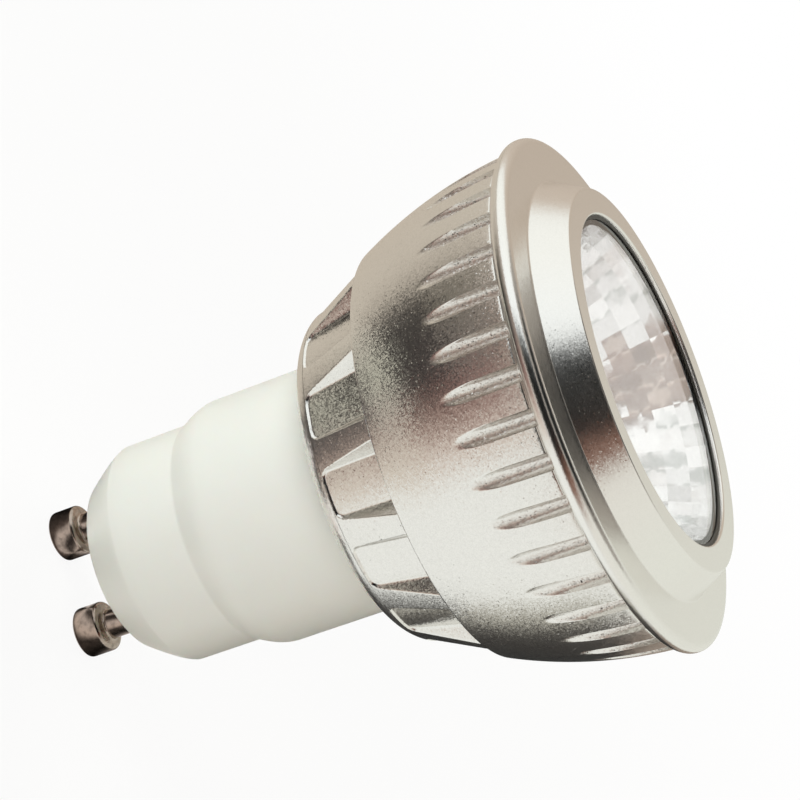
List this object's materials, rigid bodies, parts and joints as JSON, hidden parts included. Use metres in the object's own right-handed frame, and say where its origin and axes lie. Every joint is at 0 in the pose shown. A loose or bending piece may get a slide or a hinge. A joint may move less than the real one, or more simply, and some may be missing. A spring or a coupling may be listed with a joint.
{
  "type": "gu10 spotlight bulb",
  "caption": "Reflector spotlight bulb with a fluted metal cup, a clear front lens over a faceted reflector, a white base and a twist-lock pin cap.",
  "frame": {"origin": "on the bulb's axis, at the end face of the white base that the contact pins stand out of", "axes": "+Z along the beam, from the base to the lens; X through both contact pins"},
  "size_m": [0.05, 0.05, 0.0631],
  "materials": {
    "white_plastic": "satin white moulded plastic",
    "nickel": "dull nickel plate",
    "blasted_aluminium": "bead-blasted, clear satin finish",
    "clear_lens": "clear, polished",
    "black_rubber": "matte",
    "metallised": "vacuum-metallised facets",
    "white_board": "white solder mask on a metal core",
    "phosphor": "yellow phosphor gel",
    "grey_pad": "soft thermal pad",
    "steel": "zinc-plated",
    "green_board": "solder mask on glass laminate",
    "black_sleeve": "shrink sleeve",
    "ferrite": "ferrite with dark winding",
    "black_case": "moulded epoxy",
    "yellow_case": "taped film capacitor",
    "resistor_case": "lacquered ceramic",
    "red_wire": "insulated wire",
    "black_wire": "insulated wire"
  },
  "bodies": {
    "root": {"base_housing": "white_plastic", "contact_pin_a": "nickel", "contact_pin_b": "nickel", "heat_sink": "blasted_aluminium", "fluted_cup": "blasted_aluminium", "front_bezel": "blasted_aluminium", "front_lens": "clear_lens", "lens_seal": "black_rubber", "reflector": "metallised", "cob_board": "white_board", "cob_emitter": "phosphor", "thermal_pad": "grey_pad", "cob_screws": "steel", "base_screws": "steel", "driver_board": "green_board", "bulk_capacitor": "black_sleeve", "output_capacitor": "black_sleeve", "power_inductor": "ferrite", "bridge_rectifier": "black_case", "driver_chip": "black_case", "film_capacitor": "yellow_case", "fuse_resistor": "resistor_case", "live_lead": "red_wire", "neutral_lead": "black_wire", "led_positive_lead": "red_wire", "led_negative_lead": "black_wire"}
  },
  "joints": []
}
